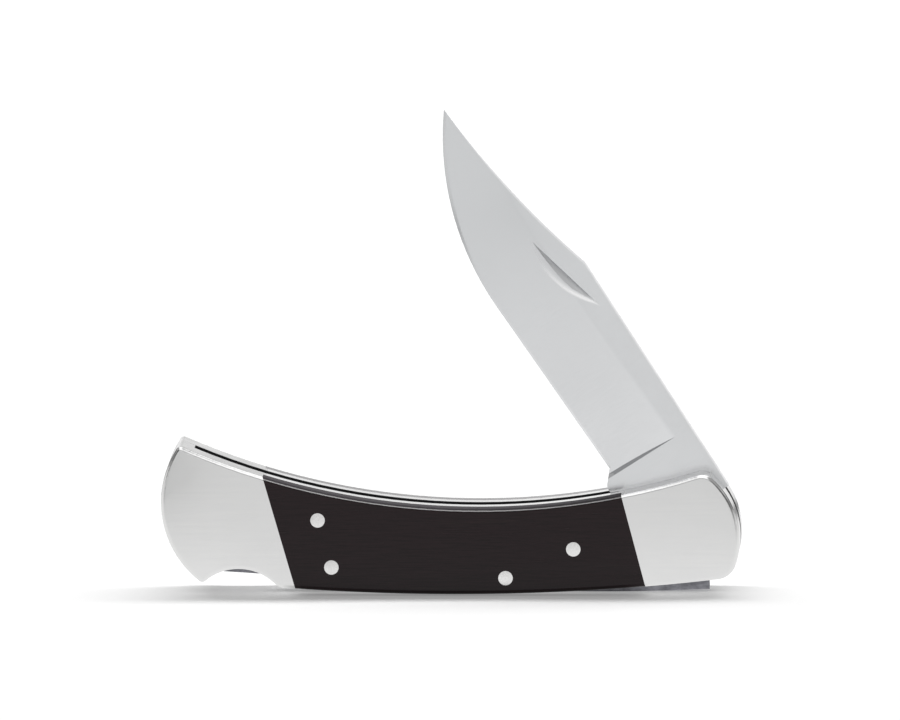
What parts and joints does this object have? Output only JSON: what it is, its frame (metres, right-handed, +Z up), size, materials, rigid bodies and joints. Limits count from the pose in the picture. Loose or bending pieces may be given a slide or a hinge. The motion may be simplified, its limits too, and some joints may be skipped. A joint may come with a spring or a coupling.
{
  "type": "folding pocket knife",
  "caption": "Lock-back folding pocket knife with a clip-point blade, slanted metal bolsters and dark wood inlays, standing on its spine half open.",
  "frame": {"origin": "middle of the handle's length and thickness, at the lowest point of the lock bar's back, which the knife stands on", "axes": "+X forward along the handle to the blade's pivot end, +Y from the near side to the far side, +Z up"},
  "size_m": [0.124, 0.0162, 0.1042],
  "materials": {
    "bolster_metal": "satin polished nickel silver",
    "dark_wood": "oiled and polished",
    "blade_steel": "satin ground",
    "lock_steel": "ground",
    "spring_steel": "blued",
    "pin_metal": "polished nickel silver",
    "bushing_bronze": "turned"
  },
  "bodies": {
    "handle": {"near_frame": "bolster_metal", "far_frame": "bolster_metal", "near_inlay": "dark_wood", "far_inlay": "dark_wood", "butt_spacer": "bolster_metal", "lock_spring": "spring_steel", "blade_pivot_pin": "bolster_metal", "blade_pivot_bushing": "bushing_bronze", "lock_bar_pin": "pin_metal", "upper_butt_rivet": "bolster_metal", "lower_butt_rivet": "bolster_metal", "near_rear_upper_inlay_pin": "pin_metal", "near_rear_lower_inlay_pin": "pin_metal", "near_front_inlay_pin": "pin_metal", "far_rear_upper_inlay_pin": "pin_metal", "far_rear_lower_inlay_pin": "pin_metal", "far_front_inlay_pin": "pin_metal"},
    "blade": {"blade": "blade_steel"},
    "lock_bar": {"lock_bar": "lock_steel"}
  },
  "joints": [
    {"name": "blade_hinge", "type": "hinge", "parent": "handle", "child": "blade", "pos_m": [0.05135, 0, 0.01433], "axis": [0, 1, 0], "range_deg": [-55, 116]},
    {"name": "lock_bar_hinge", "type": "hinge", "parent": "handle", "child": "lock_bar", "pos_m": [0.0118, 0, 0.00393], "axis": [0, 1, 0], "range_deg": [0, 1.2], "stiffness_Nm_per_rad": 6, "springref_deg": -4.01, "deforming": ["lock_spring"]}
  ]
}
